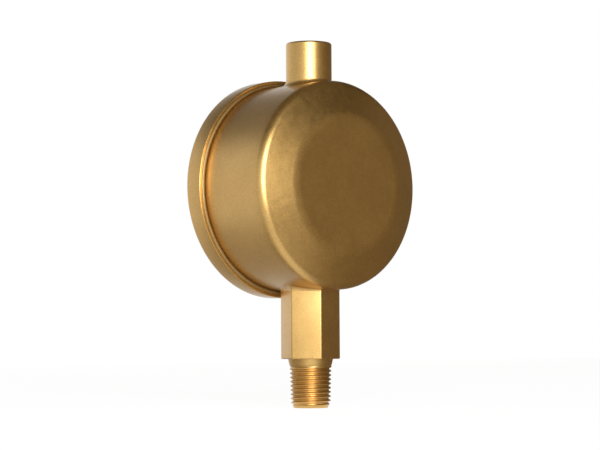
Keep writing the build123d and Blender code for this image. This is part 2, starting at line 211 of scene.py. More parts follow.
@dataclass(frozen=True)
class BareMetal:
    """Uncoated metal of an inside piece, with its tool marks and stains."""

    name: str
    clean: Colour
    stained: Colour
    roughness: float
    marks: Marks
    stain_scale: float = 160.0

    def marks_height(self, sheet: Sheet, place: bpy.types.NodeSocket) -> bpy.types.NodeSocket:
        """Height pattern of the tool marks.

        Args:
            sheet: Material that is being written.
            place: Coordinates that the pattern reads.

        Returns:
            The value output.
        """
        if self.marks is Marks.TURNED:
            rings = sheet.add(
                "ShaderNodeTexWave",
                {"Scale": 1500.0, "Distortion": 1.0, "Detail": 2.0},
                wave_type="RINGS",
                rings_direction="Z",
            )
            sheet.join(place, rings.inputs["Vector"])
            return rings.outputs["Fac"]
        if self.marks is Marks.DRAWN:
            stretch = sheet.add("ShaderNodeMapping", {"Scale": (1.0, 1.0, 0.08)})
            sheet.join(place, stretch.inputs["Vector"])
            return sheet.noise(stretch.outputs["Vector"], 4200.0, 2.0, 0.0, 1.0)
        return sheet.noise(place, 1800.0, 3.0, 0.0, 1.0)

    def material(self) -> bpy.types.Material:
        """Write the metal's nodes.

        Returns:
            The finished material.
        """
        sheet = Sheet(self.name)
        place = sheet.add("ShaderNodeTexCoord").outputs["Object"]
        stain = sheet.noise(place, self.stain_scale, 4.0, 0.0, 1.0)
        grain = sheet.noise(place, 3600.0, 1.0, 0.93, 1.07)
        body = sheet.scaled(sheet.blend(stain, self.clean, self.stained), grain)
        rough = sheet.noise(place, 350.0, 3.0, self.roughness - 0.05, self.roughness + 0.07)
        bump = sheet.add("ShaderNodeBump", {"Strength": 0.12, "Distance": 0.00002})
        sheet.join(self.marks_height(sheet, place), bump.inputs["Height"])
        shader = sheet.add("ShaderNodeBsdfPrincipled", {"Metallic": 1.0})
        sheet.join(body, shader.inputs["Base Color"])
        sheet.join(rough, shader.inputs["Roughness"])
        sheet.join(bump.outputs["Normal"], shader.inputs["Normal"])
        output = sheet.add("ShaderNodeOutputMaterial")
        sheet.join(shader.outputs["BSDF"], output.inputs["Surface"])
        return sheet.material


def outline(corners: list[Corner], arc_steps: int = 8) -> bmesh.types.BMesh:
    """Draw a closed outline with rounded corners, leaving out an edge that lies on the axis.

    Args:
        corners: Corners in order round the outline.
        arc_steps: Segments of each rounding.

    Returns:
        A mesh of the outline's edges, with the distance from the axis on X.
    """
    mesh = bmesh.new()
    points = [mesh.verts.new((corner.out, 0.0, corner.along)) for corner in corners]
    count = len(points)
    for index, point in enumerate(points):
        following = points[(index + 1) % count]
        if point.co.x > 0 or following.co.x > 0:
            mesh.edges.new((point, following))
    places = [point.co.copy() for point in points]
    for index, corner in enumerate(corners):
        if corner.rounding > 0:
            arriving = places[index] - places[index - 1]
            leaving = places[(index + 1) % count] - places[index]
            tangent = corner.rounding * math.tan(arriving.angle(leaving) / 2)
            bmesh.ops.bevel(
                mesh,
                geom=[points[index]],
                offset=tangent,
                offset_type="OFFSET",
                affect="VERTICES",
                segments=arc_steps,
                profile=0.5,
                material=-1,
                clamp_overlap=False,
            )
    return mesh


def turn(mesh: bmesh.types.BMesh, steps: int) -> bmesh.types.BMesh:
    """Spin an outline a full turn round Z and close its poles.

    Args:
        mesh: Outline to spin.
        steps: Segments of the turn.

    Returns:
        The same mesh, spun.
    """
    bmesh.ops.spin(
        mesh,
        geom=mesh.verts[:] + mesh.edges[:],
        cent=(0, 0, 0),
        axis=(0, 0, 1),
        dvec=(0, 0, 0),
        angle=math.tau,
        steps=steps,
        use_merge=True,
        use_duplicate=False,
    )
    bmesh.ops.remove_doubles(mesh, verts=mesh.verts, dist=1e-4)
    return mesh


def stand(mesh: bmesh.types.BMesh, turning: Turning, height: float) -> bmesh.types.BMesh:
    """Put a turned mesh in its place.

    Args:
        mesh: Mesh turned round Z.
        turning: Axis that it belongs to.
        height: Height of the drum's axis, in millimetres.

    Returns:
        The same mesh, moved.
    """
    if turning is Turning.DRUM:
        lay = Matrix.Translation((0, 0, height)) @ Matrix.Rotation(-math.pi / 2, 4, "X")
        bmesh.ops.transform(mesh, matrix=lay, verts=mesh.verts)
    return mesh


def shade(data: bpy.types.Mesh, crease: float) -> None:
    """Shade a mesh smooth, with creases above an angle in degrees."""
    data.shade_smooth()
    data.set_sharp_from_angle(angle=math.radians(crease))


def make_object(mesh: bmesh.types.BMesh, name: str) -> bpy.types.Object:
    """Turn a mesh in millimetres into an object in metres at the origin.

    Args:
        mesh: Finished mesh, freed here.
        name: Name of the object.

    Returns:
        The new object.
    """
    bmesh.ops.recalc_face_normals(mesh, faces=mesh.faces)
    bmesh.ops.scale(mesh, vec=(MM, MM, MM), verts=mesh.verts)
    data = bpy.data.meshes.new(name)
    mesh.to_mesh(data)
    mesh.free()
    piece = bpy.data.objects.new(name, data)
    bpy.context.scene.collection.objects.link(piece)
    return piece


@dataclass(frozen=True)
class Fitting:
    """How a finished piece joins the part."""

    node: str
    slot: str
    body: str = "housing"
    crease: float = 32.0

    def fit(self, mesh: bmesh.types.BMesh, name: str, look: Lacquer) -> bpy.types.Object:
        """Make the piece, dress it and tie it to the part.

        Args:
            mesh: Finished mesh in millimetres.
            name: Name of the piece.
            look: Finish of the piece.

        Returns:
            The finished piece.
        """
        piece = make_object(mesh, name)
        self.tie(piece, look)
        return piece

    def tie(self, piece: bpy.types.Object, look: Lacquer) -> None:
        """Dress a piece, tie it to the body that it rides on and hide the node that it stands for."""
        shade(piece.data, self.crease)
        piece.data.materials.clear()
        piece.data.materials.append(look.material())
        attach(piece, self.body)
        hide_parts(self.node)
        LOG.info("%s: %d faces", piece.name, len(piece.data.polygons))


@dataclass(frozen=True)
class Drum:
    """The drum's front shell, rear cover and the seam between them, in millimetres."""

    radius: float = 34.9
    centre: float = 74.25
    sheet: float = 0.9
    shoulder_start: float = 12.9
    shoulder_rounding: float = 3.2
    cone_angle: float = 20.0
    face_reach: float = 19.6
    face_blend: float = 10.0
    flange_radius: float = 36.27
    rim_radius: float = 37.2
    rim_front: float = 12.9
    rear_reach: float = 20.1
    rim_rear_rounding: float = 1.0
    rim_front_rounding: float = 0.3
    flange_setback: float = 0.9
    flange_bend: float = 0.5
    bead_proud: float = 0.42
    bead_fullness: float = 0.98
    recess_radius: float = 28.5
    recess_depth: float = 1.0
    recess_angle: float = 28.0
    recess_blend: float = 3.0
    tower_hole: float = 6.0
    stem_hole: float = 6.5
    merge_within: float = 0.001
    steps: int = 224

    @property
    def flange_front(self) -> float:
        """Place along the axis of the flange's front face, behind the skirt's edge."""
        return self.rim_front + self.flange_setback

    def front_points(self, inset: float) -> tuple[float, float, float, float]:
        """Corner places of the drawn front, moved inwards.

        Args:
            inset: Distance from the outside, in millimetres.

        Returns:
            Wall radius, shoulder reach, face radius and face reach.
        """
        tilt = math.radians(self.cone_angle)
        cone = (
            math.sin(tilt) * (self.radius - self.shoulder_rounding)
            + math.cos(tilt) * self.shoulder_start
            + self.shoulder_rounding
            - inset
        )
        wall = self.radius - inset
        reach = self.face_reach - inset
        shoulder = (cone - math.sin(tilt) * wall) / math.cos(tilt)
        face = (cone - math.cos(tilt) * reach) / math.sin(tilt)
        return wall, shoulder, face, reach

    def front_mesh(self) -> bmesh.types.BMesh:
        """Drawn front shell with its outward flange."""
        wall, shoulder, face, reach = self.front_points(0.0)
        wall_in, shoulder_in, face_in, reach_in = self.front_points(self.sheet)
        flange_front = self.flange_front
        flange_rear = flange_front + self.sheet
        clear_of_hole = 10.2
        corners = [
            Corner(0.0, -reach),
            Corner(face, -reach, self.face_blend),
            Corner(wall, -shoulder, self.shoulder_rounding),
            Corner(wall, -clear_of_hole),
            Corner(wall, clear_of_hole),
            Corner(wall, flange_front, self.flange_bend),
            Corner(self.flange_radius, flange_front),
            Corner(self.flange_radius, flange_rear),
            Corner(wall_in, flange_rear, self.flange_bend + self.sheet),
            Corner(wall_in, clear_of_hole),
            Corner(wall_in, -clear_of_hole),
            Corner(wall_in, -shoulder_in, self.shoulder_rounding - self.sheet),
            Corner(face_in, -reach_in, self.face_blend - self.sheet),
            Corner(0.0, -reach_in),
        ]
        return stand(turn(outline(corners, 12), self.steps), Turning.DRUM, self.centre)

    def cover_mesh(self) -> bmesh.types.BMesh:
        """Pressed rear cover, its skirt passing over the flange."""
        slope = math.radians(self.recess_angle)
        run = self.recess_depth / math.tan(slope)
        shift = self.sheet * math.tan(slope / 2)
        floor = self.rear_reach - self.recess_depth
        skirt = self.rim_radius - self.sheet
        corners = [
            Corner(0.0, floor),
            Corner(self.recess_radius - run, floor, self.recess_blend),
            Corner(self.recess_radius, self.rear_reach, self.recess_blend),
            Corner(self.rim_radius, self.rear_reach, self.rim_rear_rounding),
            Corner(self.rim_radius, self.rim_front, self.rim_front_rounding),
            Corner(skirt, self.rim_front),
            Corner(skirt, self.rear_reach - self.sheet, self.rim_rear_rounding - self.sheet),
            Corner(self.recess_radius + shift, self.rear_reach - self.sheet, self.recess_blend),
            Corner(self.recess_radius - run + shift, floor - self.sheet, self.recess_blend),
            Corner(0.0, floor - self.sheet),
        ]
        return stand(turn(outline(corners, 6), self.steps), Turning.DRUM, self.centre)

    def seam_mesh(self) -> bmesh.types.BMesh:
        """Bead of solder in the corner between the cover's skirt and the drum."""
        skirt = self.rim_radius - self.sheet
        front = self.rim_front - self.bead_proud
        rear = self.flange_front - self.flange_bend
        rounding = self.bead_fullness * (skirt - self.radius) / 2
        corners = [
            Corner(self.radius, front, rounding),
            Corner(skirt, front, rounding),
            Corner(skirt, rear),
            Corner(self.radius, rear),
        ]
        return stand(turn(outline(corners, 8), self.steps), Turning.DRUM, self.centre)

    def drill(self, shell: bpy.types.Object) -> None:
        """Cut the holes for the tower and the stem through the shell's wall."""
        drills = []
        for radius, middle in ((self.tower_hole, self.centre + self.radius), (self.stem_hole, self.centre - self.radius)):
            bit = bmesh.new()
            place = Matrix.Translation((0, 0, middle))
            depth = 8 * self.sheet
            bmesh.ops.create_cone(
                bit, cap_ends=True, segments=96, radius1=radius, radius2=radius, depth=depth, matrix=place
            )
            tool = make_object(bit, "drill")
            drills.append(tool)
            cut = shell.modifiers.new("hole", "BOOLEAN")
            cut.operation = "DIFFERENCE"
            cut.solver = "EXACT"
            cut.object = tool
        view = bpy.context.evaluated_depsgraph_get()
        drilled = bpy.data.meshes.new_from_object(shell.evaluated_get(view))
        shell.modifiers.clear()
        whole = bmesh.new()
        whole.from_mesh(drilled)
        bmesh.ops.remove_doubles(whole, verts=whole.verts, dist=self.merge_within * MM)
        bmesh.ops.dissolve_degenerate(whole, edges=whole.edges, dist=self.merge_within * MM)
        bmesh.ops.recalc_face_normals(whole, faces=whole.faces)
        whole.to_mesh(drilled)
        whole.free()
        shell.data = drilled
        for tool in drills:
            bpy.data.objects.remove(tool)

    def build(self) -> list[bpy.types.Object]:
        """Build and dress the drum's three pieces.

        Returns:
            The finished pieces.
        """
        shell = make_object(self.front_mesh(), "drum_front")
        self.drill(shell)
        Fitting("front_shell", "lacquered_shell").tie(shell, Lacquer("shell_lacquer"))
        cover = Fitting("rear_cover", "lacquered_cover").fit(self.cover_mesh(), "drum_cover", Lacquer("cover_lacquer"))
        # The seam bead's lacquer is darker than the drum's. This is painted shade of the corner between the cover's
        # skirt and the drum. Its higher roughness is the solder finish's own.
        seam_painted_shade_look = Lacquer("seam_lacquer_painted_shade", roughness=0.55, light=(0.46, 0.31, 0.12), dark=(0.38, 0.25, 0.09))
        seam = Fitting("seam_solder", "lacquered_seam").fit(self.seam_mesh(), "drum_seam", seam_painted_shade_look)
        return [shell, cover, seam]


@dataclass(frozen=True)
class Tower:
    """Vent tower on the drum's crown and the solder at its foot, in millimetres."""

    drum_radius: float = 34.9
    crown: float = 109.15
    radius: float = 7.75
    top: float = 123.15
    top_rounding: float = 0.7
    spigot_radius: float = 6.0
    spigot_bottom: float = 105.25
    outlet_radius: float = 3.2
    outlet_chamfer: float = 0.8
    seat_radius: float = 4.5
    seat_top: float = 114.25
    solder_radius: float = 1.6
    steps: int = 128

    def saddle(self, mesh: bmesh.types.BMesh, chosen: Callable[[Vector], bool]) -> None:
        """Lower the chosen vertices on to the drum's round.

        Args:
            mesh: Mesh that stands on the crown's height.
            chosen: Says whether a vertex at a place is lowered.
        """
        for vertex in mesh.verts:
            if chosen(vertex.co):
                vertex.co.z -= self.drum_radius - math.sqrt(self.drum_radius**2 - vertex.co.x**2)

    def tube_mesh(self) -> bmesh.types.BMesh:
        """Turned tower with its spigot, outlet and seat bore."""
        corners = [
            Corner(self.spigot_radius, self.spigot_bottom),
            Corner(self.spigot_radius, self.crown),
            Corner(self.radius, self.crown),
            Corner(self.radius, self.top, self.top_rounding),
            Corner(self.outlet_radius + self.outlet_chamfer, self.top),
            Corner(self.outlet_radius, self.top - self.outlet_chamfer),
            Corner(self.outlet_radius, self.seat_top),
            Corner(self.seat_radius, self.seat_top),
            Corner(self.seat_radius, self.spigot_bottom),
        ]
        mesh = turn(outline(corners, 8), self.steps)
        self.saddle(mesh, lambda place: abs(place.z - self.crown) < 1e-3)
        return mesh

    def solder_mesh(self) -> bmesh.types.BMesh:
        """Hollow fillet of solder round the tower's foot."""
        foot = self.radius + self.solder_radius
        mesh = bmesh.new()
        outer = mesh.verts.new((foot, 0, self.crown))
        corner = mesh.verts.new((self.radius, 0, self.crown))
        upper = mesh.verts.new((self.radius, 0, self.crown + self.solder_radius))
        mesh.edges.new((outer, corner))
        mesh.edges.new((corner, upper))
        bmesh.ops.bevel(
            mesh,
            geom=[corner],
            offset=self.solder_radius * 0.999,
            offset_type="OFFSET",
            affect="VERTICES",
            segments=8,
            profile=0.5,
            material=-1,
            clamp_overlap=False,
        )
        bmesh.ops.remove_doubles(mesh, verts=mesh.verts, dist=5e-3)
        root = mesh.verts.new((self.radius, 0, self.crown))
        ends = [vertex for vertex in mesh.verts if len(vertex.link_edges) == 1]
        for end in ends:
            mesh.edges.new((root, end))
        turn(mesh, self.steps)
        self.saddle(mesh, lambda place: True)
        return mesh

    def build(self) -> list[bpy.types.Object]:
        """Build and dress the tower and its solder.

        Returns:
            The finished pieces.
        """
        tube = Fitting("vent_tower", "lacquered_tower").fit(
            self.tube_mesh(), "tower_tube", Lacquer("tower_lacquer", lathe_marks=0.05)
        )
        joint_look = Lacquer("tower_joint_lacquer", roughness=0.41, peel=0.09)
        joint = Fitting("tower_solder", "lacquered_tower_joint").fit(self.solder_mesh(), "tower_joint", joint_look)
        return [tube, joint]


@dataclass(frozen=True)
class Stem:
    """Hexagonal stem with its tapered pipe thread and the brazing above it, in millimetres."""

    drum_radius: float = 34.9
    drum_centre: float = 74.25
    across_flats: float = 17.46
    flat_turn: float = -20.1
    edge_rounding: float = 0.6
    end_rounding: float = 0.4
    end_steps: int = 5
    hex_bottom: float = 16.35
    hex_top: float = 39.05
    neck_foot_radius: float = 7.17
    neck_top_radius: float = 7.6
    thread_top: float = 14.45
    pitch: float = 25.4 / 18
    depth: float = 0.75
    end_radius: float = 6.63
    taper: float = 1 / 32
    crest_flat: float = 0.24
    root_flat: float = 0.22
    thread_rounding: float = 0.12
    crest_height: float = 1.213
    nose_radius: float = 5.7
    nose_slope: float = 0.53
    run_out: float = 1.5
    bore_radius: float = 4.5
    spigot_radius: float = 6.5
    spigot_top: float = 43.25
    flare_angle: float = 38.0
    steps: int = 72

    def envelope(self, height: float) -> float:
        """Radius over the crests, or of the neck, at a height."""
        if height < self.thread_top:
            outer = self.end_radius + self.taper * height
        else:
            share = (height - self.thread_top) / (self.hex_bottom - self.thread_top)
            outer = self.neck_foot_radius + share * (self.neck_top_radius - self.neck_foot_radius)
        return min(outer, self.nose_radius + self.nose_slope * max(height, 0.0))

    def groove_share(self, height: float) -> float:
        """Share of the full groove depth, falling to nothing where the thread runs out."""
        left = (self.thread_top - height) / self.run_out
        left = min(max(left, 0.0), 1.0)
        return left * left * (3 - 2 * left)

    def thread_mesh(self) -> bmesh.types.BMesh:
        """Helical thread and neck, open at both ends.

        Returns:
            The thread's outer face from the stem's end to the hexagon.
        """
        mesh = bmesh.new()
        start = self.crest_height - 2.5 * self.pitch
        half = self.pitch / 2
        base = self.end_radius - self.depth
        flank = [
            (base, 0.0),
            (base, self.root_flat / 2),
            (self.end_radius, half - self.crest_flat / 2),
            (self.end_radius, half + self.crest_flat / 2),
            (base, self.pitch - self.root_flat / 2),
            (base, self.pitch),
        ]
        points = [mesh.verts.new((out, 0, start + along)) for out, along in flank]
        for first, second in zip(points, points[1:]):
            mesh.edges.new((first, second))
        bmesh.ops.bevel(
            mesh,
            geom=points[1:5],
            offset=self.thread_rounding,
            offset_type="OFFSET",
            affect="VERTICES",
            segments=3,
            profile=0.5,
            material=-1,
            clamp_overlap=False,
        )
        turns = 14
        bmesh.ops.spin(
            mesh,
            geom=mesh.verts[:] + mesh.edges[:],
            cent=(0, 0, 0),
            axis=(0, 0, 1),
            dvec=(0, 0, self.pitch / self.steps),
            angle=turns * math.tau,
            steps=turns * self.steps,
            use_merge=False,
            use_duplicate=False,
        )
        bmesh.ops.remove_doubles(mesh, verts=mesh.verts, dist=1e-3)
        for vertex in mesh.verts:
            place = vertex.co
            out = math.hypot(place.x, place.y)
            hollow = self.end_radius - out
            height = place.z
            wanted = min(
                self.envelope(height),
                self.crest_line(height) - hollow * self.groove_share(height),
            )
            place.x *= wanted / out
            place.y *= wanted / out
        for level, upper in ((0.0, False), (self.hex_bottom, True)):
            bmesh.ops.bisect_plane(
                mesh,
                geom=mesh.verts[:] + mesh.edges[:] + mesh.faces[:],
                dist=1e-5,
                plane_co=(0, 0, level),
                plane_no=(0, 0, 1),
                clear_inner=not upper,
                clear_outer=upper,
            )
        return mesh

    def crest_line(self, height: float) -> float:
        """Radius that the grooves are cut down from at a height."""
        if height < self.thread_top:
            return self.end_radius + self.taper * height
        return self.envelope(height)

    def hexagon(self, height: float) -> bmesh.types.BMesh:
        """Outline of the bar with rounded corners, lying at a height."""
        mesh = bmesh.new()
        corner_radius = self.across_flats / 2 / math.cos(math.pi / 6)
        place = Matrix.Translation((0, 0, height)) @ Matrix.Rotation(math.radians(self.flat_turn), 4, "Z")
        bmesh.ops.create_circle(mesh, cap_ends=False, segments=6, radius=corner_radius, matrix=place)
        bmesh.ops.bevel(
            mesh,
            geom=mesh.verts[:],
            offset=self.edge_rounding * math.tan(math.pi / 6),
            offset_type="OFFSET",
            affect="VERTICES",
            segments=5,
            profile=0.5,
            material=-1,
            clamp_overlap=False,
        )
        return mesh

    def corner_centre(self, place: Vector) -> Vector:
        """Centre of the bar's corner rounding that a place belongs to, at the place's height."""
        first = math.radians(self.flat_turn + 30.0)
        sixth = math.pi / 3
        angle = first + sixth * round((math.atan2(place.y, place.x) - first) / sixth)
        out = (self.across_flats / 2 - self.edge_rounding) / math.cos(math.pi / 6)
        return Vector((out * math.cos(angle), out * math.sin(angle), place.z))

    def bar_mesh(self) -> bmesh.types.BMesh:
        """Sides of the hexagonal bar with a rounded lower end, open at both ends."""
        mesh = self.hexagon(self.hex_top)
        edges = mesh.edges[:]
        for step in range(self.end_steps + 1):
            bend = math.pi / 2 * step / self.end_steps
            inset = self.end_rounding * (1 - math.cos(bend))
            height = self.hex_bottom + self.end_rounding * (1 - math.sin(bend))
            raised = bmesh.ops.extrude_edge_only(mesh, edges=edges)["geom"]
            edges = [part for part in raised if isinstance(part, bmesh.types.BMEdge)]
            for vertex in (part for part in raised if isinstance(part, bmesh.types.BMVert)):
                centre = self.corner_centre(vertex.co)
                arm = (vertex.co - centre).normalized() * (self.edge_rounding - inset)
                vertex.co = (centre.x + arm.x, centre.y + arm.y, height)
        return mesh

    def pipe_mesh(self, radius: float, bottom: float) -> bmesh.types.BMesh:
        """Plain round wall from a height up to the spigot's top."""
        mesh = bmesh.new()
        place = Matrix.Translation((0, 0, bottom))
        bmesh.ops.create_circle(mesh, cap_ends=False, segments=96, radius=radius, matrix=place)
        raised = bmesh.ops.extrude_edge_only(mesh, edges=mesh.edges[:])
        tops = [part for part in raised["geom"] if isinstance(part, bmesh.types.BMVert)]
        bmesh.ops.translate(mesh, verts=tops, vec=(0, 0, self.spigot_top - bottom))
        return mesh

    def stem_mesh(self) -> bmesh.types.BMesh:
        """Whole stem: thread, bar, spigot and bore joined by flat rings.

        Returns:
            One closed mesh.
        """
        whole = bmesh.new()
        walls = [
            self.thread_mesh(),
            self.bar_mesh(),
            self.pipe_mesh(self.bore_radius, 0.0),
            self.pipe_mesh(self.spigot_radius, self.hex_top),
        ]
        for wall in walls:
            carrier = bpy.data.meshes.new("wall")
            wall.to_mesh(carrier)
            wall.free()
            whole.from_mesh(carrier)
            bpy.data.meshes.remove(carrier)
        for level in (0.0, self.hex_bottom, self.hex_top, self.spigot_top):
            open_edges = [
                edge
                for edge in whole.edges
                if edge.is_boundary and all(abs(vertex.co.z - level) < 1e-3 for vertex in edge.verts)
            ]
            bmesh.ops.triangle_fill(whole, use_beauty=True, use_dissolve=False, edges=open_edges)
        bmesh.ops.remove_doubles(whole, verts=whole.verts, dist=1e-4)
        return whole

    def drum_height(self, across: float) -> float:
        """Height of the drum's underside at a distance to the side of its middle."""
        return self.drum_centre - math.sqrt(self.drum_radius**2 - across**2)

    def flare_foot(self, place: Vector) -> tuple[float, float]:
        """Where the brazing that starts at a place on the bar's edge meets the drum.

        Args:
            place: Place on the bar's upper edge.

        Returns:
            Distance out from the place, and height.
        """
        side = place.x / math.hypot(place.x, place.y)
        spread = math.tan(math.radians(self.flare_angle))
        reach = 0.0
        for _ in range(30):
            height = self.drum_height(place.x + side * reach)
            reach = (height - self.hex_top) * spread
        return reach, height

    def flare_mesh(self) -> bmesh.types.BMesh:
        """Hollow collar of brazing between the bar's upper end and the drum."""
        mesh = self.hexagon(self.hex_top)
        long_sides = [edge for edge in mesh.edges if edge.calc_length() > 1.0]
        bmesh.ops.subdivide_edges(mesh, edges=long_sides, cuts=11, use_grid_fill=False)
        base = mesh.edges[:]
        layer = mesh.verts.layers.float_vector.new("start")
        for vertex in mesh.verts:
            vertex[layer] = vertex.co
        edges = base
        rings = 8
        for ring in range(1, rings + 3):
            raised = bmesh.ops.extrude_edge_only(mesh, edges=edges)["geom"]
            edges = [part for part in raised if isinstance(part, bmesh.types.BMEdge)]
            for vertex in (part for part in raised if isinstance(part, bmesh.types.BMVert)):
                start = vertex[layer]
                out = math.hypot(start.x, start.y)
                reach, height = self.flare_foot(start)
                if ring <= rings:
                    share = ring / rings
                    away = 2 * share * (1 - share) * 0.12 + share * share
                    rise = 2 * share * (1 - share) * 0.8 + share * share
                    radius = out + reach * away
                    level = self.hex_top + (height - self.hex_top) * rise
                else:
                    radius = self.spigot_radius
                    level = self.hex_top if ring == rings + 2 else self.drum_height(start.x / out * radius)
                vertex.co = (start.x / out * radius, start.y / out * radius, level)
        bmesh.ops.bridge_loops(mesh, edges=base + edges)
        bmesh.ops.remove_doubles(mesh, verts=mesh.verts, dist=1e-4)
        return mesh

    def build(self) -> list[bpy.types.Object]:
        """Build and dress the stem and its brazing.

        Returns:
            The finished pieces.
        """
        stem = Fitting("hex_stem", "lacquered_stem", crease=28.0).fit(
            self.stem_mesh(), "threaded_stem", Lacquer("stem_lacquer", lathe_marks=0.03)
        )
        joint_look = Lacquer("stem_joint_lacquer", roughness=0.41, peel=0.09)
        joint = Fitting("stem_solder", "lacquered_stem_joint").fit(self.flare_mesh(), "stem_joint", joint_look)
        return [stem, joint]


@dataclass(frozen=True)
class Inside:
    """Finishes of the pieces inside the drum, which keep their own solids."""

    turned_brass: BareMetal = BareMetal("turned_brass", (0.80, 0.58, 0.24), (0.62, 0.42, 0.17), 0.24, Marks.TURNED)
    stamped_brass: BareMetal = BareMetal("stamped_brass", (0.76, 0.55, 0.25), (0.58, 0.40, 0.18), 0.34, Marks.PLAIN)
    soft_copper: BareMetal = BareMetal("soft_copper", (0.80, 0.43, 0.28), (0.55, 0.28, 0.18), 0.38, Marks.PLAIN)
    spring_bronze: BareMetal = BareMetal("spring_bronze", (0.74, 0.50, 0.27), (0.56, 0.36, 0.20), 0.30, Marks.DRAWN)
    drawn_bronze: BareMetal = BareMetal("drawn_bronze", (0.72, 0.49, 0.28), (0.55, 0.36, 0.20), 0.33, Marks.DRAWN)
    stainless_steel: BareMetal = BareMetal("stainless_steel", (0.66, 0.65, 0.62), (0.50, 0.49, 0.47), 0.22, Marks.TURNED)
    soft_solder: BareMetal = BareMetal("soft_solder", (0.60, 0.60, 0.58), (0.42, 0.42, 0.40), 0.42, Marks.PLAIN)

    def dress(self, nodes: dict[str, bpy.types.Object]) -> None:
        """Give each inside piece the finish that its own material slot names.

        Args:
            nodes: The part's solids by name.
        """
        made: dict[str, bpy.types.Material] = {}
        for name, node in nodes.items():
            wanted = node.data.materials[0].name.split(".")[0] if node.data.materials else ""
            look = getattr(self, wanted, None)
            if look is None:
                continue
            if wanted not in made:
                made[wanted] = look.material()
            for index in range(len(node.data.materials)):
                node.data.materials[index] = made[wanted]
            LOG.info("%s: %s", name, wanted)


